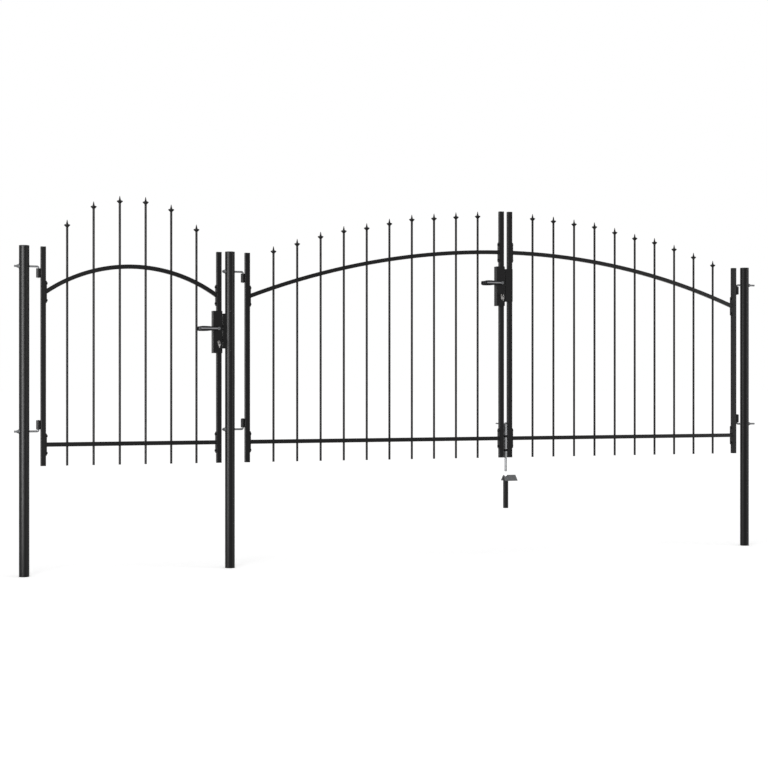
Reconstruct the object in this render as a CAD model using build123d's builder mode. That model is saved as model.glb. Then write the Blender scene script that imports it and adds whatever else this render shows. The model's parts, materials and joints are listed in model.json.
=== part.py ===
from build123d import *
import os
from math import sqrt

os.makedirs("parts", exist_ok=True)

# Steel gate set: a wicket leaf and a pair of driveway leaves between three round posts.
# X runs along the gate line to the right, Y away from the street, Z up. Millimetres.
# The origin is the centre of the middle post's foot.

# Posts
post_height = 1940.0
post_diameter = 60.0
post_wall = 2.5
foot_plate = 4.0
cap_thickness = 4.0
plug_depth = 18.0
plug_wall = 2.0
plug_fit = 0.3

# Leaves, seen from the front
gate_bottom = 646.0
stile_below_post = 4.0
meeting_stile_rise = 267.5
wicket_span = 1059.5
leaf_span = 1721.0
latch_gap = 25.0
meeting_gap = 30.0

# Square tubes
stile_size = 30.0
stile_wall = 2.0
stile_corner = 3.0
stile_cap = 3.0
rail_size = 25.0
rail_corner = 2.5
rail_above_bottom = 125.5

# Arched rails, by the centre line of their tube
wicket_crown_drop = 104.0
wicket_arch_radius = 900.0
leaf_crown_rise = 55.5
leaf_arch_radius = 4850.0

# Pickets. The highest tip stands above the crown of its arch.
# The tips are listed outwards, as drops below the highest.
picket_diameter = 14.0
picket_fit = 0.15
wicket_tip_rise = 421.0
wicket_pitch = 156.0
wicket_tip_drops = (0, 39, 154)
leaf_tip_rise = 261.5
leaf_pitch = 153.8
leaf_tip_drops = (1, 12, 26, 39, 71, 105, 129, 170, 220, 271)

# Spear head on each picket
spear_length = 44.0
spear_neck = 13.0
spear_collar = 36.0
spear_edge = 4.0
collar_drop = 31.0
cone_foot = 24.0
tip_diameter = 3.0

# Flanges that bolt the rails to the stiles
flange_height = 130.0
flange_thickness = 5.0
flange_corner = 9.0
flange_bolt_pitch = 100.0
bolt_diameter = 8.0
bolt_fit = 0.25
bolt_head = 13.0
bolt_head_height = 5.3
bolt_end = 4.0

# Hinges: a hook bolt through the post carries a barrel on the stile
hook_diameter = 12.0
hook_bend = 9.0
hook_reach = 51.5
right_hook_reach = 31.5
outer_tail = 28.0
middle_tail = 18.0
right_tail = 50.0
hook_hole_fit = 0.4
top_hook_drop = 118.0
bottom_hook_rise = 204.0
barrel_diameter = 25.0
barrel_length = 54.0
barrel_offset = 13.0
barrel_fit = 0.05
hook_to_barrel = 11.0
pin_end = 2.5
nut_size = 19.0
nut_height = 10.0
nut_fit = 0.05
washer_diameter = 28.0
washer_thickness = 2.5
washer_fit = 0.2

# Lock
case_height = 258.0
case_depth = 45.0
case_overhang = 26.0
case_sheet = 2.5
case_fit = 0.2
case_corner = 3.0
lock_pocket_above = 68.0
lock_pocket_below = 2.5
lock_pocket_side = 3.0
wicket_lock_drop = 386.0
leaf_lock_drop = 223.0
lever_rise = 21.0
lock_axis_offset = 8.0
rosette_size = 24.0
rosette_thickness = 3.0
hub_diameter = 18.0
hub_fit = 0.05
spindle_diameter = 8.0
lever_length = 124.0
lever_height = 22.0
lever_thickness = 12.0
lever_corner = 5.0
lever_gap = 4.0
lever_edge = 2.5
cylinder_drop = 83.0
plug_diameter = 12.0
plug_running_fit = 0.05
cylinder_diameter = 17.0
cylinder_web = 10.0
cylinder_height = 33.0
cylinder_proud = 3.0
cylinder_fit = 0.2
key_thickness = 2.0
key_neck = 8.0
key_bow = 22.0
key_hole = 6.0
bolt_slot_width = 12.0
bolt_slot_height = 30.0
latch_rise = 30.0
dead_bolt_drop = 45.0
latch_depth = 12.0

# Keepers
keeper_height = 214.0
keeper_rise = 6.5
keeper_depth = 30.0
keeper_plate = 3.0
keeper_clearance = 6.0
keeper_fit = 0.1
keeper_pocket = 12.0
pocket_margin = 3.0

# Drop bolt on the right leaf, and the ground socket that takes it
drop_diameter = 16.0
drop_fit = 0.08
tube_diameter = 22.0
tube_length = 218.0
band_diameter = 24.0
band_fit = 0.05
band_height = 14.0
band_rises = (48.0, 139.0)
slot_width = 10.0
drop_below_tube = 91.0
drop_above_tube = 12.0
drop_handle_diameter = 9.0
drop_handle_length = 150.0
drop_handle_root = 6.0
drop_handle_fit = 0.05
drop_handle_rise = 6.0
drop_edge = 2.0
socket_diameter = 34.0
socket_bore = 24.0
socket_length = 217.0
ridge_below_bolt = 24.0
catch_leg = 50.0
catch_thickness = 4.0
catch_length = 88.0
catch_start = 18.0
catch_hole = 22.0
catch_fit = 0.1
anchor_diameter = 6.0
anchor_length = 144.0
anchor_drop = 23.0

# Heights, up from the posts' feet
short_stile_top = post_height - stile_below_post
wicket_crown = short_stile_top - wicket_crown_drop
leaf_crown = short_stile_top + leaf_crown_rise
meeting_stile_top = leaf_crown + meeting_stile_rise
wicket_case_middle = wicket_crown - wicket_lock_drop
leaf_case_middle = leaf_crown - leaf_lock_drop
tube_top = gate_bottom + tube_length
band_levels = [gate_bottom + rise for rise in band_rises]
drop_bottom = gate_bottom - drop_below_tube
drop_top = tube_top + drop_above_tube
drop_handle_z = tube_top + drop_handle_rise - drop_handle_diameter / 2
catch_ridge = drop_bottom - ridge_below_bolt
socket_bottom = catch_ridge - socket_length
anchor_height = catch_ridge - anchor_drop

# Places along the gate line
post_radius = post_diameter / 2
stile_half = stile_size / 2
barrel_radius = barrel_diameter / 2
wicket_lock_x = -(post_radius + latch_gap + stile_half)
wicket_hinge_x = wicket_lock_x - wicket_span
wicket_axis_x = wicket_hinge_x - stile_half - barrel_offset
left_post_x = wicket_axis_x - hook_reach - post_radius
left_axis_x = post_radius + hook_reach
left_hinge_x = left_axis_x + barrel_offset + stile_half
left_lock_x = left_hinge_x + leaf_span
right_meeting_x = left_lock_x + stile_size + meeting_gap
right_hinge_x = right_meeting_x + leaf_span
right_axis_x = right_hinge_x + stile_half + barrel_offset
right_post_x = right_axis_x + right_hook_reach + post_radius
wicket_middle_x = (wicket_hinge_x + wicket_lock_x) / 2
meeting_x = (left_lock_x + right_meeting_x) / 2
rail_z = gate_bottom + rail_above_bottom
top_hook_z = short_stile_top - top_hook_drop
bottom_hook_z = gate_bottom + bottom_hook_rise
top_barrel_z = top_hook_z - hook_to_barrel - barrel_length
bottom_barrel_z = bottom_hook_z + hook_to_barrel
lever_plane = case_depth / 2 + rosette_thickness + lever_gap + lever_thickness / 2
drop_x = right_meeting_x - stile_half - band_diameter / 2
leg_run = catch_leg / sqrt(2)
foot_run = catch_thickness / sqrt(2)
under_ridge = 2 * foot_run + catch_fit
anchor_seat = catch_ridge - anchor_height - foot_run


def write(block, name):
    block.part.label = name
    export_step(block.part, f"parts/{name}.step")


def arch_height(x, middle, crown, radius):
    # Height of the arch's centre line at x
    return crown - radius + sqrt(radius**2 - (x - middle) ** 2)


def along_x(x, y, z, facing=1):
    # A plane across the gate line, whose normal points along X
    return Plane(origin=(x, y, z), x_dir=(0, 1, 0), z_dir=(facing, 0, 0))


def facing_street(x, y, z):
    # A plane whose local x is X and local y is Z
    return Plane(origin=(x, y, z), x_dir=(1, 0, 0), z_dir=(0, -1, 0))


def hook_planes(post_x, outwards):
    # Planes at the post's centre, at each hook
    return [along_x(post_x, 0, z, outwards) for z in (top_hook_z, bottom_hook_z)]


# Posts
def round_post(name, post_x):
    with BuildPart() as post:
        with BuildSketch(Plane.XY):
            with Locations((post_x, 0)):
                Circle(post_radius)
        extrude(amount=post_height - cap_thickness)
        with BuildSketch(Plane.XY.offset(foot_plate)):
            with Locations((post_x, 0)):
                Circle(post_radius - post_wall)
        extrude(amount=post_height, mode=Mode.SUBTRACT)
        for plane in hook_planes(post_x, 1):
            with BuildSketch(plane):
                Circle(hook_diameter / 2 + hook_hole_fit)
            extrude(amount=post_diameter, both=True, mode=Mode.SUBTRACT)
    write(post, name)


for post_name, post_x in (
    ("post_left", left_post_x),
    ("post_middle", 0.0),
    ("post_right", right_post_x),
):
    round_post(post_name, post_x)

with BuildPart() as post_caps:
    with BuildSketch(Plane.XY.offset(post_height - cap_thickness)):
        with Locations((left_post_x, 0), (0, 0), (right_post_x, 0)):
            Circle(post_radius)
    extrude(amount=cap_thickness)
    cap_rims = post_caps.edges().filter_by(GeomType.CIRCLE).group_by(Axis.Z)[-1]
    chamfer(cap_rims, cap_thickness / 3)
    with BuildSketch(Plane.XY.offset(post_height - cap_thickness)):
        with Locations((left_post_x, 0), (0, 0), (right_post_x, 0)):
            Circle(post_radius - post_wall - plug_fit)
            Circle(post_radius - post_wall - plug_fit - plug_wall, mode=Mode.SUBTRACT)
    extrude(amount=-plug_depth)
write(post_caps, "post_caps")


# Hinge hooks, their washers and nuts
def hinge_hooks(name, axis_x, tail_x):
    with BuildPart() as hooks:
        for hook_z, end_z in (
            (top_hook_z, top_barrel_z - pin_end),
            (bottom_hook_z, bottom_barrel_z + barrel_length + pin_end),
        ):
            with BuildLine(Plane.XZ) as hook_path:
                FilletPolyline((tail_x, hook_z), (axis_x, hook_z), (axis_x, end_z), radius=hook_bend)
            with BuildSketch(Plane(origin=hook_path.line @ 0, z_dir=hook_path.line % 0)):
                Circle(hook_diameter / 2)
            sweep()
    write(hooks, name)


hinge_sides = (
    ("wicket", left_post_x, wicket_axis_x, -1, outer_tail),
    ("left", 0.0, left_axis_x, -1, middle_tail),
    ("right", right_post_x, right_axis_x, 1, right_tail),
)
for leaf_name, post_x, axis_x, away, tail in hinge_sides:
    hinge_hooks(f"{leaf_name}_hinge_hooks", axis_x, post_x + away * (post_radius + tail))

with BuildPart() as hinge_washers:
    for leaf_name, post_x, axis_x, away, tail in hinge_sides:
        for plane in hook_planes(post_x, away):
            with BuildSketch(plane):
                Circle(washer_diameter / 2)
                Circle(hook_diameter / 2 + hook_hole_fit, mode=Mode.SUBTRACT)
            extrude(amount=post_radius + washer_thickness)
    for post_x in (left_post_x, 0.0, right_post_x):
        with BuildSketch(Plane.XY):
            with Locations((post_x, 0)):
                Circle(post_radius + washer_fit)
        extrude(amount=post_height, mode=Mode.SUBTRACT)
write(hinge_washers, "hinge_washers")

with BuildPart() as hinge_nuts:
    for leaf_name, post_x, axis_x, away, tail in hinge_sides:
        for plane in hook_planes(post_x, away):
            with BuildSketch(plane.offset(post_radius + washer_thickness)):
                RegularPolygon(nut_size / 2, 6, major_radius=False)
                Circle(hook_diameter / 2 + nut_fit, mode=Mode.SUBTRACT)
            extrude(amount=nut_height)
write(hinge_nuts, "hinge_nuts")


# Stiles
def flange_bolt_planes(stile_x, inwards, rail_heights):
    # Planes on the stile's inner face, at each flange bolt, looking into the leaf
    return [
        along_x(stile_x + inwards * stile_half, 0, rail_height + side * flange_bolt_pitch / 2, inwards)
        for rail_height in rail_heights
        for side in (-1, 1)
    ]


def square_stile(name, stile_x, top, inwards, rail_heights, pocket):
    with BuildPart() as stile:
        with BuildSketch(Plane.XY.offset(gate_bottom + stile_cap)):
            with Locations((stile_x, 0)):
                RectangleRounded(stile_size, stile_size, stile_corner)
                Rectangle(
                    stile_size - 2 * stile_wall, stile_size - 2 * stile_wall, mode=Mode.SUBTRACT
                )
        extrude(amount=top - gate_bottom - 2 * stile_cap)
        for plane in flange_bolt_planes(stile_x, inwards, rail_heights):
            with BuildSketch(plane):
                Circle(bolt_diameter / 2 + bolt_fit)
            extrude(amount=-stile_half, mode=Mode.SUBTRACT)
        if pocket:
            pocket_low, pocket_high = pocket
            with BuildSketch(Plane.XY.offset(pocket_low)):
                with Locations((stile_x - stile_half, 0)):
                    Rectangle(stile_size + 2 * lock_pocket_side, 2 * stile_size)
            extrude(amount=pocket_high - pocket_low, mode=Mode.SUBTRACT)
    write(stile, name)


def stile_caps(name, stiles):
    with BuildPart() as caps:
        for stile_x, top in stiles:
            for base, direction in ((top - stile_cap, 1), (gate_bottom + stile_cap, -1)):
                with BuildSketch(Plane.XY.offset(base)):
                    with Locations((stile_x, 0)):
                        RectangleRounded(stile_size, stile_size, stile_corner)
                extrude(amount=direction * stile_cap)
                plug_outer = stile_size - 2 * stile_wall - 2 * plug_fit
                with BuildSketch(Plane.XY.offset(base)):
                    with Locations((stile_x, 0)):
                        Rectangle(plug_outer, plug_outer)
                        Rectangle(
                            plug_outer - 2 * plug_wall, plug_outer - 2 * plug_wall, mode=Mode.SUBTRACT
                        )
                extrude(amount=-direction * plug_depth)
    write(caps, name)


# Rails
def bottom_rail(name, ends, xs):
    (first_x, _, _), (last_x, _, _) = ends
    start = first_x + stile_half + flange_thickness / 2
    end = last_x - stile_half - flange_thickness / 2
    with BuildPart() as rail:
        with BuildSketch(along_x(start, 0, rail_z)):
            RectangleRounded(rail_size, rail_size, rail_corner)
        extrude(amount=end - start)
        for stile_x, inwards, _ in ends:
            with BuildSketch(along_x(stile_x + inwards * stile_half, 0, rail_z, inwards)):
                RectangleRounded(stile_size, flange_height, flange_corner)
                with Locations((0, flange_bolt_pitch / 2), (0, -flange_bolt_pitch / 2)):
                    Circle(bolt_diameter / 2 + bolt_fit, mode=Mode.SUBTRACT)
            extrude(amount=flange_thickness)
        with BuildSketch(Plane.XY.offset(gate_bottom)):
            with Locations(*[(x, 0) for x in xs]):
                Circle(picket_diameter / 2 + picket_fit)
        extrude(amount=2 * rail_above_bottom, mode=Mode.SUBTRACT)
    write(rail, name)


def arched_rail(name, ends, xs, middle, crown, radius):
    (first_x, _, _), (last_x, _, _) = ends
    start = first_x + stile_half + flange_thickness / 2
    end = last_x - stile_half - flange_thickness / 2
    with BuildPart() as rail:
        with BuildSketch(facing_street(middle, 0, crown - radius)):
            Circle(radius + rail_size / 2)
            Circle(radius - rail_size / 2, mode=Mode.SUBTRACT)
            with Locations(((start + end) / 2 - middle, radius)):
                Rectangle(end - start, radius, mode=Mode.INTERSECT)
        extrude(amount=rail_size / 2, both=True)
        fillet(rail.edges().filter_by(GeomType.CIRCLE), rail_corner)
        for stile_x, inwards, height in ends:
            with BuildSketch(along_x(stile_x + inwards * stile_half, 0, height, inwards)):
                RectangleRounded(stile_size, flange_height, flange_corner)
                with Locations((0, flange_bolt_pitch / 2), (0, -flange_bolt_pitch / 2)):
                    Circle(bolt_diameter / 2 + bolt_fit, mode=Mode.SUBTRACT)
            extrude(amount=flange_thickness)
        with BuildSketch(Plane.XY.offset(gate_bottom)):
            with Locations(*[(x, 0) for x in xs]):
                Circle(picket_diameter / 2 + picket_fit)
        extrude(amount=crown, mode=Mode.SUBTRACT)
    write(rail, name)


def flange_bolts(name, planes):
    with BuildPart() as bolts:
        for plane in planes:
            with BuildSketch(plane.offset(flange_thickness)):
                RegularPolygon(bolt_head / 2, 6, major_radius=False)
            extrude(amount=bolt_head_height)
            with BuildSketch(plane.offset(flange_thickness)):
                Circle(bolt_diameter / 2)
            extrude(amount=-(flange_thickness + stile_wall + bolt_end))
    write(bolts, name)


# Pickets with their spear heads: each is turned about its own axis
def pickets(name, xs, tips):
    with BuildPart() as bars:
        for x, tip in zip(xs, tips):
            with BuildSketch(Plane.XZ):
                with BuildLine():
                    Polyline(
                        (x, gate_bottom),
                        (x + picket_diameter / 2, gate_bottom),
                        (x + picket_diameter / 2, tip - spear_length),
                        (x + spear_collar / 2, tip - collar_drop - spear_edge / 2),
                        (x + spear_collar / 2, tip - collar_drop + spear_edge / 2),
                        (x + spear_neck / 2, tip - cone_foot),
                        (x + tip_diameter / 2, tip),
                        (x, tip),
                        (x, gate_bottom),
                    )
                make_face()
            revolve(axis=Axis((x, 0, 0), (0, 0, 1)))
    write(bars, name)


# Hinge barrels on the stiles
def hinge_barrels(name, axis_x, stile_face_x):
    with BuildPart() as barrels:
        for base in (top_barrel_z, bottom_barrel_z):
            with BuildSketch(Plane.XY.offset(base)):
                with Locations((axis_x, 0)):
                    Circle(barrel_radius)
                with Locations(((axis_x + stile_face_x) / 2, 0)):
                    Rectangle(abs(stile_face_x - axis_x), barrel_radius)
                with Locations((axis_x, 0)):
                    Circle(hook_diameter / 2 + barrel_fit, mode=Mode.SUBTRACT)
            extrude(amount=barrel_length)
    write(barrels, name)


# Locks
def lock_case(name, stile_x, middle_z):
    left = stile_x - stile_half - case_overhang
    right = stile_x + stile_half + case_fit + case_sheet
    axis_x = stile_x - lock_axis_offset
    lever_z = middle_z + lever_rise
    with BuildPart() as case:
        with BuildSketch(Plane.XY.offset(middle_z - case_height / 2)):
            with Locations(((left + right) / 2, 0)):
                RectangleRounded(right - left, case_depth, case_corner)
        extrude(amount=case_height)
        with BuildSketch(Plane.XY.offset(middle_z - case_height / 2 + case_sheet)):
            with Locations(((left + right) / 2, 0)):
                Rectangle(right - left - 2 * case_sheet, case_depth - 2 * case_sheet)
        extrude(amount=case_height - 2 * case_sheet, mode=Mode.SUBTRACT)
        with BuildSketch(Plane.XY.offset(middle_z - case_height / 2)):
            with Locations((stile_x, 0)):
                Rectangle(stile_size + 2 * case_fit, stile_size + 2 * case_fit)
        extrude(amount=case_height, mode=Mode.SUBTRACT)
        for side in (-1, 1):
            with BuildSketch(facing_street(axis_x, side * case_depth / 2, lever_z)):
                RectangleRounded(rosette_size, rosette_size, rosette_thickness)
            extrude(amount=-side * rosette_thickness)
        with BuildSketch(facing_street(axis_x, 0, lever_z)):
            Circle(hub_diameter / 2 + hub_fit)
        extrude(amount=case_depth, both=True, mode=Mode.SUBTRACT)
        with BuildSketch(facing_street(axis_x, 0, lever_z - cylinder_drop)):
            cylinder_profile(cylinder_fit)
        extrude(amount=case_depth, both=True, mode=Mode.SUBTRACT)
        for slot_z in (middle_z + latch_rise, middle_z - dead_bolt_drop):
            with BuildSketch(along_x(right, 0, slot_z)):
                Rectangle(bolt_slot_width, bolt_slot_height)
            extrude(amount=-latch_depth / 2, mode=Mode.SUBTRACT)
    write(case, name)


def cylinder_profile(grow):
    # Round body with the web below it
    Circle(cylinder_diameter / 2 + grow)
    web_low = cylinder_height - cylinder_diameter / 2 + grow
    with Locations((0, -web_low / 2)):
        Rectangle(cylinder_web + 2 * grow, web_low)


def lock_cylinder(name, stile_x, middle_z):
    center = (stile_x - lock_axis_offset, 0, middle_z + lever_rise - cylinder_drop)
    with BuildPart() as housing:
        with BuildSketch(facing_street(*center)):
            cylinder_profile(0)
        extrude(amount=case_depth / 2 + cylinder_proud, both=True)
        with BuildSketch(facing_street(*center)):
            Circle(plug_diameter / 2 + plug_running_fit)
        extrude(amount=case_depth, both=True, mode=Mode.SUBTRACT)
    write(housing, name)


# A key in the plug that it turns
def key(name, stile_x, middle_z):
    axis_x = stile_x - lock_axis_offset
    axis_z = middle_z + lever_rise - cylinder_drop
    front = -(case_depth / 2 + cylinder_proud)
    bow_y = front - key_neck - key_bow / 2
    with BuildPart() as blank:
        with BuildSketch(facing_street(axis_x, 0, axis_z)):
            Circle(plug_diameter / 2)
        extrude(amount=-front, both=True)
        with BuildSketch(along_x(axis_x - key_thickness / 2, 0, axis_z)):
            with Locations((bow_y, 0)):
                Circle(key_bow / 2)
            with Locations(((front + bow_y) / 2, 0)):
                Rectangle(front - bow_y, key_bow / 3)
            with Locations((bow_y - key_bow / 4, 0)):
                Circle(key_hole / 2, mode=Mode.SUBTRACT)
        extrude(amount=key_thickness)
    write(blank, name)


def lever(name, stile_x, middle_z):
    axis_x = stile_x - lock_axis_offset
    axis_z = middle_z + lever_rise
    with BuildPart() as handle:
        with BuildSketch(facing_street(axis_x, 0, axis_z)):
            Circle(spindle_diameter / 2)
        extrude(amount=lever_plane, both=True)
        for side in (-1, 1):
            with BuildSketch(facing_street(axis_x, side * (case_depth / 2 - case_sheet), axis_z)):
                Circle(hub_diameter / 2)
            extrude(amount=-side * (case_sheet + rosette_thickness + lever_gap + lever_thickness / 2))
            with BuildSketch(along_x(axis_x + hub_diameter / 2, side * lever_plane, axis_z)):
                RectangleRounded(lever_thickness, lever_height, lever_corner)
            extrude(amount=-(lever_length + hub_diameter / 2))
        lever_rims = handle.edges().group_by(Axis.X)[0]
        fillet(lever_rims, lever_edge)
    write(handle, name)


# Keepers take the latch and the dead bolt
def keeper(name, back_x, face_x, middle_z, post_x, plate_x):
    with BuildPart() as box:
        with BuildSketch(Plane.XY.offset(middle_z + keeper_rise - keeper_height / 2)):
            with Locations(((back_x + face_x) / 2, 0)):
                Rectangle(back_x - face_x, keeper_depth)
            if plate_x:
                with Locations(((face_x + plate_x) / 2, -(keeper_depth + keeper_plate) / 2)):
                    Rectangle(plate_x - face_x, keeper_plate)
            if post_x is not None:
                with Locations((post_x, 0)):
                    Circle(post_radius + keeper_fit, mode=Mode.SUBTRACT)
        extrude(amount=keeper_height)
        for slot_z in (middle_z + latch_rise, middle_z - dead_bolt_drop):
            with BuildSketch(along_x(face_x, 0, slot_z)):
                Rectangle(bolt_slot_width + 2 * pocket_margin, bolt_slot_height + 2 * pocket_margin)
            extrude(amount=keeper_pocket, mode=Mode.SUBTRACT)
    write(box, name)


# The three leaves
def leaf(name, hinge_x, other_x, other_top, middle, crown, radius, xs, tips, axis_x, case_middle):
    inwards = 1 if hinge_x < other_x else -1
    hinge_arch = arch_height(hinge_x + inwards * stile_half, middle, crown, radius)
    other_arch = arch_height(other_x - inwards * stile_half, middle, crown, radius)
    other_name = "lock_stile" if case_middle else "meeting_stile"
    ends = sorted([(hinge_x, inwards, hinge_arch), (other_x, -inwards, other_arch)])
    low_ends = [(x, way, rail_z) for x, way, _ in ends]
    pocket = None
    if case_middle:
        lever_z = case_middle + lever_rise
        cylinder_low = lever_z - cylinder_drop - cylinder_height + cylinder_diameter / 2
        pocket = (cylinder_low - lock_pocket_below, lever_z + lock_pocket_above)
    square_stile(
        f"{name}_hinge_stile", hinge_x, short_stile_top, inwards, (rail_z, hinge_arch), None
    )
    square_stile(
        f"{name}_{other_name}", other_x, other_top, -inwards, (rail_z, other_arch), pocket
    )
    stile_caps(f"{name}_stile_caps", ((hinge_x, short_stile_top), (other_x, other_top)))
    bottom_rail(f"{name}_bottom_rail", low_ends, xs)
    arched_rail(f"{name}_arched_rail", ends, xs, middle, crown, radius)
    flange_bolts(
        f"{name}_flange_bolts",
        flange_bolt_planes(hinge_x, inwards, (rail_z, hinge_arch))
        + flange_bolt_planes(other_x, -inwards, (rail_z, other_arch)),
    )
    pickets(f"{name}_pickets", xs, tips)
    hinge_barrels(f"{name}_hinge_barrels", axis_x, hinge_x - inwards * stile_half)
    if case_middle:
        lock_case(f"{name}_lock_case", other_x, case_middle)
        lock_cylinder(f"{name}_lock_cylinder", other_x, case_middle)
        key(f"{name}_key", other_x, case_middle)
        lever(f"{name}_lever", other_x, case_middle)


wicket_half = [wicket_pitch * (i + 0.5) for i in range(len(wicket_tip_drops))]
wicket_xs = [wicket_middle_x - d for d in reversed(wicket_half)]
wicket_xs += [wicket_middle_x + d for d in wicket_half]
wicket_tips = [wicket_crown + wicket_tip_rise - d for d in reversed(wicket_tip_drops)]
wicket_tips += [wicket_crown + wicket_tip_rise - d for d in wicket_tip_drops]
leaf(
    "wicket", wicket_hinge_x, wicket_lock_x, short_stile_top, wicket_middle_x, wicket_crown,
    wicket_arch_radius, wicket_xs, wicket_tips, wicket_axis_x, wicket_case_middle,
)

picket_count = len(leaf_tip_drops)
picket_margin = (leaf_span - (picket_count - 1) * leaf_pitch) / 2
left_xs = [left_lock_x - picket_margin - i * leaf_pitch for i in range(picket_count)]
right_xs = [right_meeting_x + picket_margin + i * leaf_pitch for i in range(picket_count)]
leaf_tips = [leaf_crown + leaf_tip_rise - d for d in leaf_tip_drops]
leaf(
    "left", left_hinge_x, left_lock_x, meeting_stile_top, meeting_x, leaf_crown,
    leaf_arch_radius, left_xs, leaf_tips, left_axis_x, leaf_case_middle,
)
leaf(
    "right", right_hinge_x, right_meeting_x, meeting_stile_top, meeting_x, leaf_crown,
    leaf_arch_radius, right_xs, leaf_tips, right_axis_x, None,
)

case_face = stile_half + case_fit + case_sheet
keeper(
    "wicket_keeper", 0.0, wicket_lock_x + case_face + keeper_clearance, wicket_case_middle, 0.0, None
)
keeper(
    "right_keeper", right_meeting_x - stile_half, left_lock_x + case_face + keeper_clearance,
    leaf_case_middle, None, right_meeting_x + stile_half,
)

# Drop bolt in its slotted tube, which two bands hold to the right leaf
with BuildPart() as drop_bolt_tube:
    with BuildSketch(Plane.XY.offset(gate_bottom)):
        with Locations((drop_x, 0)):
            Circle(tube_diameter / 2)
            Circle(drop_diameter / 2 + drop_fit, mode=Mode.SUBTRACT)
    extrude(amount=tube_top - gate_bottom)
    with BuildSketch(Plane.XY.offset(tube_top)):
        with Locations((drop_x, tube_diameter / 2)):
            Rectangle(slot_width, tube_diameter)
    extrude(amount=-(tube_top - max(band_levels) - band_height / 2), mode=Mode.SUBTRACT)
write(drop_bolt_tube, "drop_bolt_tube")

with BuildPart() as drop_bolt_bands:
    for level in band_levels:
        with BuildSketch(Plane.XY.offset(level - band_height / 2)):
            with Locations((drop_x, 0)):
                Circle(band_diameter / 2)
            with Locations((drop_x + band_diameter / 4, 0)):
                Rectangle(band_diameter / 2, band_diameter)
            with Locations((drop_x, 0)):
                Circle(tube_diameter / 2 + band_fit, mode=Mode.SUBTRACT)
        extrude(amount=band_height)
write(drop_bolt_bands, "drop_bolt_bands")

with BuildPart() as drop_bolt:
    with BuildSketch(Plane.XY.offset(drop_bottom)):
        with Locations((drop_x, 0)):
            Circle(drop_diameter / 2)
    extrude(amount=drop_top - drop_bottom)
    chamfer(drop_bolt.edges().filter_by(GeomType.CIRCLE), drop_edge)
    with BuildSketch(facing_street(drop_x, 0, drop_handle_z)):
        Circle(drop_handle_diameter / 2 + drop_handle_fit)
    extrude(amount=drop_diameter, both=True, mode=Mode.SUBTRACT)
write(drop_bolt, "drop_bolt")

with BuildPart() as drop_bolt_handle:
    with BuildSketch(facing_street(drop_x, -drop_handle_root, drop_handle_z)):
        Circle(drop_handle_diameter / 2)
    extrude(amount=-(drop_handle_root + drop_handle_length))
write(drop_bolt_handle, "drop_bolt_handle")

# Ground socket: a tube under an angle bar set as a roof, with a pin to anchor it
with BuildPart() as socket_tube:
    with BuildSketch(Plane.XY.offset(socket_bottom)):
        with Locations((drop_x, 0)):
            Circle(socket_diameter / 2)
            Circle(socket_bore / 2, mode=Mode.SUBTRACT)
    extrude(amount=catch_ridge - socket_bottom)
    with BuildSketch(along_x(drop_x - socket_diameter, 0, catch_ridge)):
        with BuildLine():
            Polyline(
                (0, -under_ridge),
                (socket_diameter, -under_ridge - socket_diameter),
                (socket_diameter, socket_diameter),
                (-socket_diameter, socket_diameter),
                (-socket_diameter, -under_ridge - socket_diameter),
                (0, -under_ridge),
            )
        make_face()
    extrude(amount=2 * socket_diameter, mode=Mode.SUBTRACT)
write(socket_tube, "socket_tube")

with BuildPart() as socket_catch:
    with BuildSketch(along_x(drop_x - catch_start, 0, catch_ridge)):
        with BuildLine():
            Polyline(
                (0, 0),
                (leg_run, -leg_run),
                (leg_run - foot_run, -leg_run - foot_run),
                (0, -2 * foot_run),
                (foot_run - leg_run, -leg_run - foot_run),
                (-leg_run, -leg_run),
                (0, 0),
            )
        make_face()
    extrude(amount=catch_length)
    with BuildSketch(Plane.XY.offset(socket_bottom)):
        with Locations((drop_x, 0)):
            Circle(catch_hole / 2)
    extrude(amount=post_height, mode=Mode.SUBTRACT)
    with BuildSketch(facing_street(drop_x + catch_length / 2, anchor_seat, anchor_height)):
        Circle(anchor_diameter / 2)
    extrude(amount=-(anchor_length - anchor_seat))
write(socket_catch, "socket_catch")
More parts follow.
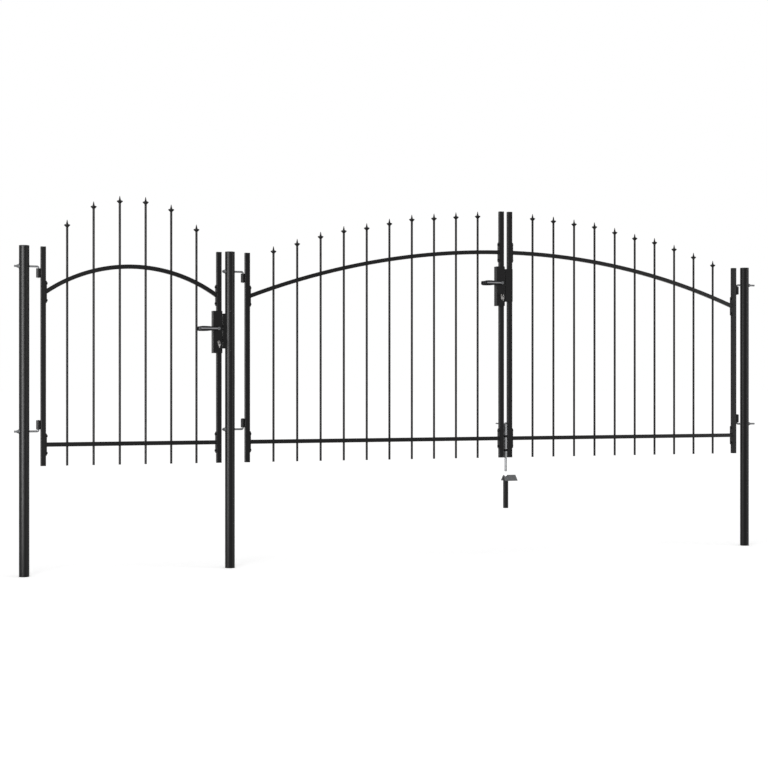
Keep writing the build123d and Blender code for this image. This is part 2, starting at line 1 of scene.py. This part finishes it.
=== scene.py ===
import json
import math
import bpy
import bmesh
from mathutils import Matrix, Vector


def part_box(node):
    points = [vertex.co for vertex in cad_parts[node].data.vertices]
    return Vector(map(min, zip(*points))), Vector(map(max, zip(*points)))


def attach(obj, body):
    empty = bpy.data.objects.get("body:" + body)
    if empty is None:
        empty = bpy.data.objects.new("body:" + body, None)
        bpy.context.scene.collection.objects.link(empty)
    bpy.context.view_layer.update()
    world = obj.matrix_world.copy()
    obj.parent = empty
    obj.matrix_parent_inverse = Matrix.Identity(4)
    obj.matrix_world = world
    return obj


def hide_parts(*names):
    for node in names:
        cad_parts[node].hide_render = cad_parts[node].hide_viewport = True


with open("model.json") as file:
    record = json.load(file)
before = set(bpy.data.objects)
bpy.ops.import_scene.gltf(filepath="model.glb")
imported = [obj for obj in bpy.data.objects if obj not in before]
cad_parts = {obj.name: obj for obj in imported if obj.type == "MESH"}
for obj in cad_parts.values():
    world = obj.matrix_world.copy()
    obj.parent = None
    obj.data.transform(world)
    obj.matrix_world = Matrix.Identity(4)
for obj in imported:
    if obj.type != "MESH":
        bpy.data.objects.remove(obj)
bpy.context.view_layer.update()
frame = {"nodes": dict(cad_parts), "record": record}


# A wrapped socket adds Math nodes when it is used in an expression
class Value:
    def __init__(self, shader, socket):
        self.shader = shader
        self.socket = socket

    def combine(self, operation, first, second=0.0):
        return self.shader.node(
            "ShaderNodeMath", {"operation": operation}, {0: first, 1: second},
        )

    def __add__(self, other):
        return self.combine("ADD", self, other)

    def __radd__(self, other):
        return self.combine("ADD", other, self)

    def __sub__(self, other):
        return self.combine("SUBTRACT", self, other)

    def __rsub__(self, other):
        return self.combine("SUBTRACT", other, self)

    def __mul__(self, other):
        return self.combine("MULTIPLY", self, other)

    def __rmul__(self, other):
        return self.combine("MULTIPLY", other, self)

    def __abs__(self):
        return self.combine("ABSOLUTE", self)

    def orLarger(self, other):
        return self.combine("MAXIMUM", self, other)


class Shader:
    noiseRoughness = 0.55

    def __init__(self, owner):
        owner.use_nodes = True
        self.owner = owner
        self.tree = owner.node_tree
        self.tree.nodes.clear()

    def node(self, kind, settings, sockets, output=0):
        made = self.tree.nodes.new(kind)
        for name, value in settings.items():
            setattr(made, name, value)
        for name, value in sockets.items():
            if isinstance(value, Value):
                self.tree.links.new(value.socket, made.inputs[name])
            else:
                made.inputs[name].default_value = value
        return Value(self, made.outputs[output])

    def place(self):
        return self.node("ShaderNodeTexCoord", {}, {}, "Object")

    def axis(self, letter):
        return self.node("ShaderNodeSeparateXYZ", {}, {"Vector": self.place()}, letter)

    def stretched(self, scale=(1.0, 1.0, 1.0)):
        return self.node("ShaderNodeMapping", {}, {"Vector": self.place(), "Scale": scale})

    def noise(self, scale, detail, stretch=(1.0, 1.0, 1.0)):
        return self.node("ShaderNodeTexNoise", {}, {
            "Vector": self.stretched(stretch), "Scale": scale,
            "Detail": detail, "Roughness": self.noiseRoughness,
        })

    def blendColors(self, factor, first, second):
        # Sockets 6 and 7 of a Mix node are its two colours, and output 2 the blend
        sockets = {0: factor, 6: first, 7: second}
        return self.node("ShaderNodeMix", {"data_type": "RGBA"}, sockets, 2)

    def fade(self, value, start, width):
        # 1 up to start, then falling smoothly to 0
        return self.node("ShaderNodeMapRange", {"interpolation_type": "SMOOTHSTEP"}, {
            "Value": value, "From Min": start, "From Max": start + width,
            "To Min": 1.0, "To Max": 0.0,
        })

    def bump(self, height, distance, strength):
        return self.node("ShaderNodeBump", {}, {
            "Height": height, "Distance": distance, "Strength": strength,
        })

    def seenDirectly(self):
        # 1 for rays from the camera, off a glossy surface or through a clear one
        kinds = ("Is Camera Ray", "Is Glossy Ray", "Is Transmission Ray")
        camera, glossy, through = [
            self.node("ShaderNodeLightPath", {}, {}, kind) for kind in kinds
        ]
        return camera.orLarger(glossy.orLarger(through))

    def close(self, surface, kind="ShaderNodeOutputMaterial"):
        out = self.tree.nodes.new(kind)
        self.tree.links.new(surface.socket, out.inputs["Surface"])
        return self.owner

    def finish(self, sockets):
        return self.close(self.node("ShaderNodeBsdfPrincipled", {}, sockets))


def newShader(name):
    return Shader(bpy.data.materials.new(name))


# In each finish a noise is its scale, its detail and, where uneven, its stretch

# Black powder coat: slightly cloudy, with a fine orange peel
coat = {
    "dark": (0.0016, 0.0015, 0.0016, 1), "light": (0.0042, 0.0040, 0.0043, 1),
    "cloud": (7.0, 4.0), "cloudShare": 0.7,
    "dust": (38.0, 5.0, (1.0, 1.0, 0.35)), "dustShare": 0.3,
    "roughness": 0.33, "cloudRoughness": 0.07, "dustRoughness": 0.06, "gloss": 0.15,
    "peel": (620.0, 2.0), "grit": (2400.0, 1.0), "gritShare": 0.25,
    "peelDepth": 0.00012, "peelStrength": 0.7,
}


def powderCoat():
    s = newShader("powderCoat")
    cloud = s.noise(*coat["cloud"])
    dust = s.noise(*coat["dust"])
    mask = cloud * coat["cloudShare"] + dust * coat["dustShare"]
    rough = cloud * coat["cloudRoughness"] + dust * coat["dustRoughness"]
    height = s.noise(*coat["peel"]) + s.noise(*coat["grit"]) * coat["gritShare"]
    return s.finish({
        "Base Color": s.blendColors(mask, coat["dark"], coat["light"]),
        "Roughness": coat["roughness"] + rough,
        "Specular IOR Level": coat["gloss"],
        "Normal": s.bump(height, coat["peelDepth"], coat["peelStrength"]),
    })


# Moulded plastic of the caps, with a fine matt grain
cap = {
    "dark": (0.0075, 0.0075, 0.0078, 1), "light": (0.0130, 0.0130, 0.0135, 1),
    "cloud": (22.0, 3.0), "roughness": 0.52, "cloudRoughness": 0.12, "gloss": 0.16,
    "grain": (1500.0, 3.0), "grainDepth": 0.00010, "grainStrength": 0.6,
}


def capPlastic():
    s = newShader("capPlastic")
    cloud = s.noise(*cap["cloud"])
    grain = s.noise(*cap["grain"])
    return s.finish({
        "Base Color": s.blendColors(cloud, cap["dark"], cap["light"]),
        "Roughness": cap["roughness"] + cloud * cap["cloudRoughness"],
        "Specular IOR Level": cap["gloss"],
        "Normal": s.bump(grain, cap["grainDepth"], cap["grainStrength"]),
    })


# Zinc plate in three tones: hooks and nuts, the drop bolt, and bent sheet
zinc = {
    "hardware": {"dull": (0.070, 0.072, 0.074, 1), "bright": (0.150, 0.153, 0.156, 1)},
    "slider": {"dull": (0.13, 0.132, 0.135, 1), "bright": (0.26, 0.264, 0.268, 1)},
    "sheet": {"dull": (0.062, 0.064, 0.066, 1), "bright": (0.125, 0.128, 0.131, 1)},
    "spangle": 190.0, "spangleShare": 0.45, "spangleHeight": 0.4,
    "cloud": (45.0, 5.0), "cloudShare": 0.65,
    "metallic": 0.92, "roughness": 0.30, "cloudRoughness": 0.24,
    "grain": (900.0, 2.0), "grainDepth": 0.00005, "grainStrength": 0.5,
}


def zincPlate(tone):
    s = newShader("zincPlate_" + tone)
    spangle = s.node("ShaderNodeTexVoronoi", {"feature": "F1"}, {
        "Vector": s.stretched(), "Scale": zinc["spangle"],
    })
    cloud = s.noise(*zinc["cloud"])
    mask = spangle * zinc["spangleShare"] + cloud * zinc["cloudShare"]
    height = s.noise(*zinc["grain"]) + spangle * zinc["spangleHeight"]
    return s.finish({
        "Base Color": s.blendColors(mask, zinc[tone]["dull"], zinc[tone]["bright"]),
        "Metallic": zinc["metallic"],
        "Roughness": zinc["roughness"] + cloud * zinc["cloudRoughness"],
        "Normal": s.bump(height, zinc["grainDepth"], zinc["grainStrength"]),
    })


# Dark lever bar with a painted highlight: a bright band along the middle of its faces, as far
# as the bend, stands in for light reflected along the bar
leverLook = {
    "dark": (0.006, 0.006, 0.0065, 1), "light": (0.013, 0.013, 0.014, 1),
    # the bright colour below and the keys after it set the painted highlight band along the
    # bar's middle
    "paintedHighlight": (0.25, 0.25, 0.26, 1), "highlightLeast": 0.6, "highlightBrush": 0.4,
    "highlightHalf": 0.0031, "highlightEdge": 0.0028, "highlightRagged": 0.0012,
    "highlightTo": 0.106, "highlightFade": 0.006,
    "brush": (420.0, 4.0, (0.06, 1.0, 1.0)), "brushShare": 0.6,
    "cloud": (18.0, 3.0), "cloudShare": 0.4,
    "metallic": 0.9, "roughness": 0.30, "brushRoughness": 0.16,
    "brushDepth": 0.00003, "brushStrength": 0.6,
}


def leverMetal(name, axisX, axisZ):
    look = leverLook
    s = newShader(name)
    brush = s.noise(*look["brush"])
    cloud = s.noise(*look["cloud"])
    away = abs(s.axis("Z") - axisZ) + brush * look["highlightRagged"]
    middle = s.fade(away, look["highlightHalf"], look["highlightEdge"])
    straight = s.fade(axisX - s.axis("X"), look["highlightTo"], look["highlightFade"])
    # painted highlight: mask of the bright band along the bar's middle, in place of its
    # reflection
    paintedHighlight = middle * straight * (look["highlightLeast"] + brush * look["highlightBrush"])
    mask = brush * look["brushShare"] + cloud * look["cloudShare"]
    darkBar = s.blendColors(mask, look["dark"], look["light"])
    return s.finish({
        "Base Color": s.blendColors(paintedHighlight, darkBar, look["paintedHighlight"]),
        "Metallic": look["metallic"],
        "Roughness": look["roughness"] + brush * look["brushRoughness"],
        "Normal": s.bump(brush, look["brushDepth"], look["brushStrength"]),
    })


# Brushed nickel of cylinders, keys and rings
nickel = {
    "dark": (0.17, 0.167, 0.162, 1), "light": (0.36, 0.354, 0.345, 1),
    "brush": (700.0, 3.0, (1.0, 1.0, 0.08)), "brushShare": 0.5,
    "cloud": (60.0, 3.0), "cloudShare": 0.5,
    "metallic": 1.0, "roughness": 0.16, "brushRoughness": 0.14,
    "brushDepth": 0.00002, "brushStrength": 0.5,
}


def nickelMetal():
    s = newShader("nickelMetal")
    brush = s.noise(*nickel["brush"])
    cloud = s.noise(*nickel["cloud"])
    mask = brush * nickel["brushShare"] + cloud * nickel["cloudShare"]
    return s.finish({
        "Base Color": s.blendColors(mask, nickel["dark"], nickel["light"]),
        "Metallic": nickel["metallic"],
        "Roughness": nickel["roughness"] + brush * nickel["brushRoughness"],
        "Normal": s.bump(brush, nickel["brushDepth"], nickel["brushStrength"]),
    })


sheetZinc = zincPlate("sheet")
sliderZinc = zincPlate("slider")
finishes = {
    "black_coat": powderCoat(),
    "black_cap": capPlastic(),
    "zinc_plate": zincPlate("hardware"),
    "lever_grey": sheetZinc,
    "nickel": nickelMetal(),
}
ownFinish = {
    "drop_bolt": sliderZinc, "drop_bolt_tube": sliderZinc, "socket_catch": sheetZinc,
}
slotOfNode = {part["node"]: part["material_slot"] for part in frame["record"]["subparts"]}
for nodeName, node in frame["nodes"].items():
    node.data.materials.clear()
    node.data.materials.append(ownFinish.get(nodeName, finishes[slotOfNode[nodeName]]))
print("finishes on", len(frame["nodes"]), "nodes")


# Modelling helpers
throughGate = (math.pi / 2, 0.0, 0.0)  # turns a primitive's own axis to run front to back
facingShare = 0.9  # least part of a normal along its axis for a face to be picked


def startPiece(addPrimitive, **how):
    bpy.ops.object.select_all(action="DESELECT")
    addPrimitive(**how)
    return bpy.context.object


def pickFaces(piece, test):
    # In edit mode: selects only the faces whose normal passes the test
    bpy.ops.mesh.select_all(action="DESELECT")
    mesh = bmesh.from_edit_mesh(piece.data)
    for face in mesh.faces:
        face.select = test(face.normal)
    bmesh.update_edit_mesh(piece.data)


def bevelPiece(piece, width, segments=3):
    bevel = piece.modifiers.new("edges", "BEVEL")
    bevel.width = width
    bevel.segments = segments
    bevel.limit_method = "ANGLE"


def bothFaces(piece):
    # The same on the back of the gate, whose middle plane is y = 0
    mirror = piece.modifiers.new("bothFaces", "MIRROR")
    mirror.use_axis = (False, True, False)
    mirror.use_clip = True
    mirror.merge_threshold = 0.00005


def settle(piece, name, body, slotName, smoothTo=35.0):
    bpy.ops.object.select_all(action="DESELECT")
    piece.select_set(True)
    bpy.context.view_layer.objects.active = piece
    bpy.ops.object.transform_apply(location=True, rotation=True, scale=True)
    for modifier in list(piece.modifiers):
        bpy.ops.object.modifier_apply(modifier=modifier.name)
    bpy.ops.object.shade_smooth_by_angle(angle=math.radians(smoothTo))
    piece.name = name
    piece.data.materials.clear()
    piece.data.materials.append(finishes[slotName])
    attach(piece, body)


# Round bolt heads on the middle post, above and below the wicket's keeper
keeperBolt = {"radius": 0.0085, "dome": 0.0045, "past": 0.014, "edge": 0.0006}


def keeperBolts():
    low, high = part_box("wicket_keeper")
    postLow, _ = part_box("post_middle")
    heights = low[2] - keeperBolt["past"], high[2] + keeperBolt["past"]
    for order, height in enumerate(heights):
        seat = (0.0, postLow[1], height)
        head = startPiece(
            bpy.ops.mesh.primitive_uv_sphere_add, segments=32, ring_count=16,
            radius=keeperBolt["radius"], location=seat,
        )
        bpy.ops.object.mode_set(mode="EDIT")
        bpy.ops.mesh.bisect(
            plane_co=seat, plane_no=(0.0, 1.0, 0.0), clear_outer=True, use_fill=True,
        )
        bpy.ops.mesh.select_all(action="SELECT")
        flat = keeperBolt["dome"] / keeperBolt["radius"]
        bpy.ops.transform.resize(value=(1.0, flat, 1.0), center_override=seat)
        bpy.ops.object.mode_set(mode="OBJECT")
        bevelPiece(head, keeperBolt["edge"])
        settle(head, f"keeper_bolt_{order}", "root", "black_coat")


keeperBolts()
print("keeper bolts made")


# Levers: each bar swells from its hub to the bend, and its end turns back to the gate
leverBar = {
    "halfThick": 0.0046, "behindFront": 0.0060, "edge": 0.0016, "smoothTo": 50.0,
    "sections": (
        # along the bar, towards the gate, half height, turn in degrees
        (-0.006, 0.0, 0.0076, 0),
        (0.010, 0.0, 0.0082, 0),
        (0.030, 0.0, 0.0108, 0),
        (0.055, 0.0, 0.0136, 0),
        (0.080, 0.0, 0.0147, 0),
        (0.100, 0.0, 0.0148, 0),
        (0.1115, 0.0015, 0.0138, 22),
        (0.1195, 0.0075, 0.0122, 48),
        (0.1225, 0.0160, 0.0104, 72),
        (0.1235, 0.0230, 0.0094, 80),
    ),
}
leverHub = {
    "fromEnd": 0.009, "neck": 0.0078, "button": 0.0098, "halfButton": 0.0045,
    "forward": 0.0012, "rim": 0.35, "dish": 0.0006, "edge": 0.0008,
}


def sweepBar(axisX, planeY, axisZ):
    along, back, halfHeight, turn = leverBar["sections"][0]
    bar = startPiece(
        bpy.ops.mesh.primitive_circle_add, vertices=40, radius=1.0, fill_type="NGON",
        location=(axisX - along, planeY + back, axisZ), rotation=(0.0, math.pi / 2, 0.0),
    )
    bar.scale = (halfHeight, leverBar["halfThick"], 1.0)
    bpy.ops.object.transform_apply(location=True, rotation=True, scale=True)
    bpy.ops.object.mode_set(mode="EDIT")
    bpy.ops.mesh.select_all(action="SELECT")
    for section in leverBar["sections"][1:]:
        wasAlong, wasBack, wasHalfHeight, wasTurn = along, back, halfHeight, turn
        along, back, halfHeight, turn = section
        middle = (axisX - along, planeY + back, axisZ)
        bpy.ops.mesh.extrude_region_move(
            TRANSFORM_OT_translate={"value": (wasAlong - along, back - wasBack, 0.0)},
        )
        bpy.ops.transform.rotate(
            value=math.radians(turn - wasTurn), orient_axis="Z", center_override=middle,
        )
        growth = halfHeight / wasHalfHeight
        bpy.ops.transform.resize(value=(1.0, 1.0, growth), center_override=middle)
    bpy.ops.mesh.select_all(action="SELECT")
    bpy.ops.mesh.normals_make_consistent(inside=False)
    bpy.ops.object.mode_set(mode="OBJECT")
    return bar


def hubButton(axisX, planeY, axisZ):
    button = startPiece(
        bpy.ops.mesh.primitive_cylinder_add, vertices=48, radius=leverHub["button"],
        depth=2 * leverHub["halfButton"],
        location=(axisX, planeY - leverHub["forward"], axisZ), rotation=throughGate,
    )
    bpy.ops.object.mode_set(mode="EDIT")
    pickFaces(button, lambda normal: normal.z > facingShare)
    bpy.ops.mesh.inset(
        thickness=leverHub["button"] * leverHub["rim"], depth=-leverHub["dish"],
    )
    bpy.ops.object.mode_set(mode="OBJECT")
    bevelPiece(button, leverHub["edge"])
    return button


def lever(leafName, body):
    low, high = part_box(f"{leafName}_lever")
    axisX = high[0] - leverHub["fromEnd"]
    axisZ = (low[2] + high[2]) / 2
    planeY = low[1] + leverBar["behindFront"]
    bar = sweepBar(axisX, planeY, axisZ)
    bevelPiece(bar, leverBar["edge"], segments=4)
    bothFaces(bar)
    settle(bar, f"{leafName}_lever_bar", body, "lever_grey", leverBar["smoothTo"])
    bar.data.materials[0] = leverMetal(f"leverMetal_{leafName}", axisX, axisZ)
    neck = startPiece(
        bpy.ops.mesh.primitive_cylinder_add, vertices=48, radius=leverHub["neck"],
        depth=-planeY, location=(axisX, planeY / 2, axisZ), rotation=throughGate,
    )
    bothFaces(neck)
    settle(neck, f"{leafName}_lever_neck", body, "lever_grey")
    button = hubButton(axisX, planeY, axisZ)
    bothFaces(button)
    settle(button, f"{leafName}_lever_button", body, "lever_grey")
    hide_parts(f"{leafName}_lever")


lever("wicket", "wicket_handle")
lever("left", "left_handle")
print("levers made")


# A split ring through each key's bow, with the spare key on it
ring = {
    "radius": 0.0065, "wire": 0.0008, "turn": 0.12, "intoBow": 0.0055, "smoothTo": 60.0,
}
spare = {
    "turn": -0.3, "hang": 0.0050, "halfThick": 0.0011,
    "bow": 0.0070, "rim": 0.002, "dish": 0.0004, "edge": 0.0003,
    "blade": 0.012, "halfWidth": 0.0029, "bladeThick": 1.6, "intoBow": 0.002,
    # every second of the steps along the blade's edge is cut, except near the bow
    "steps": 8, "firstPlain": 3, "cut": 0.0014, "edgeFrom": 0.9,
}


def spareBow(x, y, z):
    bow = startPiece(
        bpy.ops.mesh.primitive_cylinder_add, vertices=48, radius=spare["bow"],
        depth=2 * spare["halfThick"], location=(x, y, z),
        rotation=(math.pi / 2, 0.0, spare["turn"]),
    )
    bpy.ops.object.mode_set(mode="EDIT")
    pickFaces(bow, lambda normal: abs(normal.z) > facingShare)
    bpy.ops.mesh.inset(thickness=spare["rim"], depth=-spare["dish"])
    bpy.ops.object.mode_set(mode="OBJECT")
    bevelPiece(bow, spare["edge"], segments=2)
    return bow


def spareBlade(x, y, top):
    thick = spare["halfThick"] * spare["bladeThick"]
    blade = startPiece(
        bpy.ops.mesh.primitive_cube_add, size=1.0,
        location=(x, y, top - spare["blade"] / 2), rotation=(0.0, 0.0, spare["turn"]),
        scale=(spare["halfWidth"] * 2, thick, spare["blade"]),
    )
    bpy.ops.object.transform_apply(location=False, rotation=False, scale=True)
    bpy.ops.object.mode_set(mode="EDIT")
    bpy.ops.mesh.select_all(action="SELECT")
    bpy.ops.mesh.subdivide(number_cuts=spare["steps"] - 1)
    bpy.ops.mesh.select_all(action="DESELECT")
    mesh = bmesh.from_edit_mesh(blade.data)
    for vert in mesh.verts:
        step = round(vert.co.z / (spare["blade"] / spare["steps"]))
        onEdge = vert.co.x > spare["halfWidth"] * spare["edgeFrom"]
        vert.select = onEdge and step % 2 == 0 and step < spare["firstPlain"]
    mesh.select_flush_mode()
    bmesh.update_edit_mesh(blade.data)
    bpy.ops.transform.translate(value=(-spare["cut"], 0.0, 0.0), orient_type="LOCAL")
    bpy.ops.object.mode_set(mode="OBJECT")
    return blade


def spareKeys(leafName, body):
    low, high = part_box(f"{leafName}_key")
    middleX = (low[0] + high[0]) / 2
    middleZ = (low[2] + high[2]) / 2
    holeY = low[1] + ring["intoBow"]
    loop = startPiece(
        bpy.ops.mesh.primitive_torus_add, major_radius=ring["radius"],
        minor_radius=ring["wire"], major_segments=72, minor_segments=12,
        location=(middleX, holeY, middleZ - ring["radius"]),
        rotation=(math.pi / 2, 0.0, ring["turn"]),
    )
    settle(loop, f"{leafName}_key_ring", body, "nickel", ring["smoothTo"])
    bowZ = middleZ - 2 * ring["radius"] - spare["hang"]
    bow = spareBow(middleX, holeY, bowZ)
    settle(bow, f"{leafName}_spare_key_bow", body, "nickel")
    blade = spareBlade(middleX, holeY, bowZ - spare["bow"] + spare["intoBow"])
    settle(blade, f"{leafName}_spare_key_blade", body, "nickel")


spareKeys("wicket", "wicket_key_plug")
spareKeys("left", "left_key_plug")
print("rings and spare keys made")


# Screw heads with a round recess, in the corners of each lock case on both its faces
coverScrew = {
    "radius": 0.0042, "proud": 0.0006, "fromEdge": 0.012, "cylinderProud": 0.003,
    "rim": 0.45, "wall": 0.00033, "edge": 0.0002,
}


def coverScrewHead(x, faceY, z, outward):
    head = startPiece(
        bpy.ops.mesh.primitive_cylinder_add, vertices=32, radius=coverScrew["radius"],
        depth=2 * coverScrew["proud"], location=(x, faceY, z), rotation=throughGate,
    )
    bpy.ops.object.mode_set(mode="EDIT")
    pickFaces(head, lambda normal: -outward * normal.z > facingShare)
    bpy.ops.mesh.inset(thickness=coverScrew["radius"] * coverScrew["rim"])
    bpy.ops.mesh.inset(thickness=coverScrew["wall"], depth=-coverScrew["proud"])
    bpy.ops.object.mode_set(mode="OBJECT")
    bevelPiece(head, coverScrew["edge"], segments=2)
    return head


def coverScrews(leafName, body):
    low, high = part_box(f"{leafName}_lock_case")
    cylinderLow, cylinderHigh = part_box(f"{leafName}_lock_cylinder")
    caseFront = cylinderLow[1] + coverScrew["cylinderProud"]
    caseBack = cylinderHigh[1] - coverScrew["cylinderProud"]
    inset = coverScrew["fromEdge"]
    corners = [
        (x, faceY, z, outward)
        for faceY, outward in ((caseFront, -1), (caseBack, 1))
        for x in (low[0] + inset, high[0] - inset)
        for z in (low[2] + inset, high[2] - inset)
    ]
    for order, corner in enumerate(corners):
        head = coverScrewHead(*corner)
        settle(head, f"{leafName}_cover_screw_{order}", body, "black_coat")


coverScrews("wicket", "wicket")
coverScrews("left", "left_leaf")
print("cover screws made")


# Floor and world
studio = {
    "size": 400.0, "floorZ": -0.0005, "paper": (0.84, 0.84, 0.84, 1), "ambient": 0.60,
    # a glow lifts the seen floor to white, less near the gate, where the lamps reach
    "lift": 0.52, "nearTint": (0.62, 0.62, 0.62, 1),
    "nearMiddle": (1.2, -3.0, 0.0), "nearRadius": 1.0, "nearFade": 12.0,
}
white = (1, 1, 1, 1)


def whiteFloor():
    s = newShader("floorWhite")
    paper = s.node("ShaderNodeBsdfDiffuse", {}, {"Color": studio["paper"]})
    away = s.node("ShaderNodeVectorMath", {"operation": "DISTANCE"}, {
        0: s.place(), 1: studio["nearMiddle"],
    }, "Value")
    nearGate = s.fade(away, studio["nearRadius"], studio["nearFade"])
    glow = s.node("ShaderNodeEmission", {}, {
        "Color": s.blendColors(nearGate, white, studio["nearTint"]),
        "Strength": studio["lift"],
    })
    seen = s.node("ShaderNodeMixShader", {}, {0: s.seenDirectly(), 2: glow})
    return s.close(s.node("ShaderNodeAddShader", {}, {0: paper, 1: seen}))


def whiteWorld():
    s = Shader(bpy.data.worlds.new("studioWorld"))
    ambient = s.node("ShaderNodeBackground", {}, {
        "Color": white, "Strength": studio["ambient"],
    })
    backdrop = s.node("ShaderNodeBackground", {}, {"Color": white, "Strength": 1.0})
    both = s.node("ShaderNodeMixShader", {}, {
        0: s.seenDirectly(), 1: ambient, 2: backdrop,
    })
    return s.close(both, "ShaderNodeOutputWorld")


floor = startPiece(
    bpy.ops.mesh.primitive_plane_add, size=studio["size"],
    location=(0.0, 0.0, studio["floorZ"]),
)
floor.name = "floor"
floor.data.materials.append(whiteFloor())
bpy.context.scene.world = whiteWorld()
print("floor and world set")


# Lamps: the strip only adds the soft highlight along the posts' left sides
lamps = {
    "key": {"at": (-4.5, -7.0, 4.0), "size": (3.0, 3.0), "power": 140.0, "glossOnly": False},
    "fill": {"at": (12.0, -8.0, 2.0), "size": (4.0, 4.0), "power": 380.0, "glossOnly": False},
    "top": {"at": (1.2, -2.0, 7.5), "size": (8.0, 4.0), "power": 140.0, "glossOnly": False},
    "strip": {"at": (-2.25, -1.25, 1.3), "size": (1.1, 2.5), "power": 180.0, "glossOnly": True},
}
gateMiddle = Vector((1.2, 0.0, 1.2))
for lampName, lamp in lamps.items():
    data = bpy.data.lights.new(lampName, "AREA")
    data.shape = "RECTANGLE"
    data.size, data.size_y = lamp["size"]
    data.energy = lamp["power"]
    holder = bpy.data.objects.new(lampName, data)
    holder.location = lamp["at"]
    aim = gateMiddle - Vector(lamp["at"])
    if lamp["glossOnly"]:
        aim.z = 0.0
        holder.visible_diffuse = False
    holder.visible_camera = False
    holder.rotation_euler = aim.to_track_quat("-Z", "Y").to_euler()
    bpy.context.scene.collection.objects.link(holder)

# Camera: level, at the photo's viewing angle
view = {"at": (-2.380, -9.067, 1.128), "turn": -20.5, "lens": 71.2, "sensor": 36.0}
cameraData = bpy.data.cameras.new("photoCamera")
cameraData.lens = view["lens"]
cameraData.sensor_width = view["sensor"]
camera = bpy.data.objects.new("photoCamera", cameraData)
camera.location = view["at"]
camera.rotation_euler = (math.pi / 2, 0.0, math.radians(view["turn"]))
bpy.context.scene.collection.objects.link(camera)
bpy.context.scene.camera = camera
bpy.context.scene.view_settings.view_transform = "Standard"
print("lamps and camera set")
